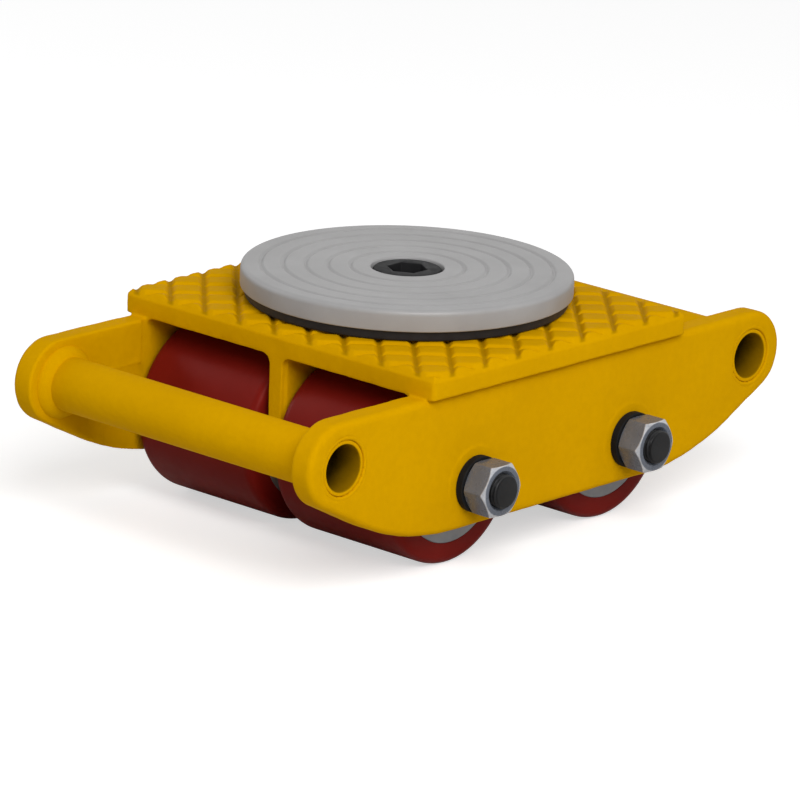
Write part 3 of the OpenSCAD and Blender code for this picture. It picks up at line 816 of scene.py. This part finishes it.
def end_ribs():
    """Flush ends of the middle wall and of the fillets, in the deck's two end planes."""
    inside = DECK_UNDER + 2
    half_web = [(WEB_HALF, WEB_LOW)] + fillet_points(WEB_HALF, DECK_UNDER, WEB_FILLET)
    half_web.append((WEB_HALF + WEB_FILLET, inside))
    web = half_web + [(-y, z) for y, z in reversed(half_web)]
    corner = [(2 * BAY_WALL - y, z) for y, z in fillet_points(BAY_WALL, DECK_UNDER, WALL_FILLET)]
    corner += [(BAY_WALL - WALL_FILLET, inside), (BAY_WALL + 1, inside),
               (BAY_WALL + 1, DECK_UNDER - WALL_FILLET)]
    parts = []
    for outline in (web, corner, [(-y, z) for y, z in reversed(corner)]):
        count = len(outline)
        verts = [Vector((x, y, z)) for x in (DECK_END - 5.0, DECK_END - 0.1) for y, z in outline]
        faces = [list(range(count)), [count + i for i in reversed(range(count))]]
        faces += [[i, i + count, (i + 1) % count + count, (i + 1) % count] for i in range(count)]
        parts += [(verts, faces), mirrored((verts, faces), "x")]
    return gather(parts)


def shape_cast(coords):
    """Lowers the faces under the washers and fades the pads' steps, all in millimetres."""
    side = np.abs(coords[:, 1]) - SIDE_Y
    raised = (side > RING_SKIN) & (coords[:, 2] < RING_TOP)
    lift = np.maximum(side - RING_SKIN, 0) * (RING_RISE - RING_SKIN) / (RING_CAD - RING_SKIN)
    flat = SIDE_Y + np.minimum(side, RING_SKIN) + lift
    coords[raised, 1] = (np.sign(coords[:, 1]) * flat)[raised]
    x, y, z = np.abs(coords).T
    foot = (x > PAD_X) & (x < EAR_X) & (z < PAD_LOW) & (y > EAR_FACE - 0.3) & (y < BAY_WALL + 0.3)
    sunk = np.clip((EAR_X - x) / (EAR_X - PAD_X), 0, 1) * np.clip((PAD_LOW - z) / PAD_FADE, 0, 1)
    face = EAR_FACE + sunk * (BAY_WALL - EAR_FACE) + np.clip(y - BAY_WALL, -0.2, 0.2)
    coords[foot, 1] = (np.sign(coords[:, 1]) * face)[foot]


def cast_copy(node, name, voxel, smooth, keep):
    """A copy of a cast solid with the soft edges and small hollows that a sand mould leaves."""
    bm = bmesh.new()
    bm.from_mesh(NODES[node].data)
    verts, faces = end_ribs()
    added = [bm.verts.new(v * MM) for v in verts]
    sides = [bm.faces.new([added[i] for i in face]) for face in faces]
    bmesh.ops.recalc_face_normals(bm, faces=sides)
    mesh = bpy.data.meshes.new(name)
    bm.to_mesh(mesh)
    bm.free()
    obj = bpy.data.objects.new(name, mesh)
    bpy.context.scene.collection.objects.link(obj)
    remesh = obj.modifiers.new("voxels", "REMESH")
    remesh.mode = "VOXEL"
    remesh.voxel_size = voxel * MM
    relax = obj.modifiers.new("relax", "SMOOTH")
    relax.factor = 0.5
    relax.iterations = smooth
    texture = bpy.data.textures.new("cast_waves", "CLOUDS")
    texture.noise_scale = WAVE_SIZE
    wave = obj.modifiers.new("waves", "DISPLACE")
    wave.texture = texture
    wave.texture_coords = "LOCAL"
    wave.strength = WAVE_HEIGHT * MM
    wave.mid_level = 0.5
    thin = obj.modifiers.new("thin", "DECIMATE")
    thin.ratio = keep
    made = finish_copy(obj, node)
    low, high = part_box(node)
    coords = np.empty(len(made.data.vertices) * 3)
    made.data.vertices.foreach_get("co", coords)
    coords = np.clip(coords.reshape(-1, 3), low, high) / MM
    shape_cast(coords)
    made.data.vertices.foreach_set("co", (coords * MM).ravel())
    made.data.update()
    return made


cast_copy("frame_casting", "frame_cast", voxel=0.6, smooth=2, keep=0.15)


# Floor, light and surroundings, in metres
FLOOR_HALF, FLOOR_GREY, FLOOR_GLOW = 6.0, 0.7, 0.56
WORLD_LIGHT = 0.31
WHITE = (1, 1, 1, 1)
LAMP_AIM = (0, 0, 0.05)


def glow(tree, strength):
    node = tree.nodes.new("ShaderNodeEmission")
    node.inputs["Color"].default_value = WHITE
    node.inputs["Strength"].default_value = strength
    return node.outputs[0]


def highest(tree, a, b):
    node = tree.nodes.new("ShaderNodeMath")
    node.operation = "MAXIMUM"
    tree.links.new(a, node.inputs[0])
    tree.links.new(b, node.inputs[1])
    return node.outputs[0]


def switch(tree, share, off, on):
    node = tree.nodes.new("ShaderNodeMixShader")
    for i, socket in enumerate((share, off, on)):
        tree.links.new(socket, node.inputs[i])
    return node.outputs[0]


def make_floor():
    """A pale floor that keeps the shadow; its extra glow is seen by the camera alone."""
    mesh = bpy.data.meshes.new("floor")
    h = FLOOR_HALF
    mesh.from_pydata([(-h, -h, 0), (h, -h, 0), (h, h, 0), (-h, h, 0)], [], [(0, 1, 2, 3)])
    floor = bpy.data.objects.new("floor", mesh)
    bpy.context.scene.collection.objects.link(floor)
    mat = bpy.data.materials.new("floor_pale")
    mat.use_nodes = True
    tree = mat.node_tree
    tree.nodes.clear()
    out = tree.nodes.new("ShaderNodeOutputMaterial")
    diffuse = tree.nodes.new("ShaderNodeBsdfDiffuse")
    diffuse.inputs["Color"].default_value = (FLOOR_GREY, FLOOR_GREY, FLOOR_GREY, 1)
    path = tree.nodes.new("ShaderNodeLightPath")
    pale = switch(tree, path.outputs["Is Camera Ray"], glow(tree, 0.0), glow(tree, FLOOR_GLOW))
    both = tree.nodes.new("ShaderNodeAddShader")
    tree.links.new(diffuse.outputs[0], both.inputs[0])
    tree.links.new(pale, both.inputs[1])
    tree.links.new(both.outputs[0], out.inputs["Surface"])
    mesh.materials.append(mat)


def make_world():
    """Weak even light, white where the camera, gloss or clear surfaces look at it."""
    world = bpy.data.worlds.new("studio")
    bpy.context.scene.world = world
    world.use_nodes = True
    tree = world.node_tree
    tree.nodes.clear()
    out = tree.nodes.new("ShaderNodeOutputWorld")
    light = tree.nodes.new("ShaderNodeBackground")
    light.inputs["Color"].default_value = WHITE
    light.inputs["Strength"].default_value = WORLD_LIGHT
    rays = tree.nodes.new("ShaderNodeLightPath").outputs
    seen = highest(tree, rays["Is Glossy Ray"], rays["Is Transmission Ray"])
    seen = highest(tree, rays["Is Camera Ray"], seen)
    tree.links.new(switch(tree, seen, light.outputs[0], glow(tree, 1.0)), out.inputs["Surface"])


def make_lamp(name, place, size, power):
    data = bpy.data.lights.new(name, "AREA")
    data.shape = "DISK"
    data.size = size
    data.energy = power
    lamp = bpy.data.objects.new(name, data)
    bpy.context.scene.collection.objects.link(lamp)
    lamp.location = place
    lamp.rotation_euler = (Vector(LAMP_AIM) - Vector(place)).to_track_quat("-Z", "Y").to_euler()


make_floor()
make_world()
make_lamp("key", (-1.03, -1.61, 1.66), 1.7, 46)
make_lamp("fill", (1.6, -1.4, 1.6), 1.4, 4)
make_lamp("back", (-0.6, 2.2, 1.2), 1.4, 9)

bpy.context.scene.view_settings.view_transform = "Standard"

bpy.context.view_layer.update()
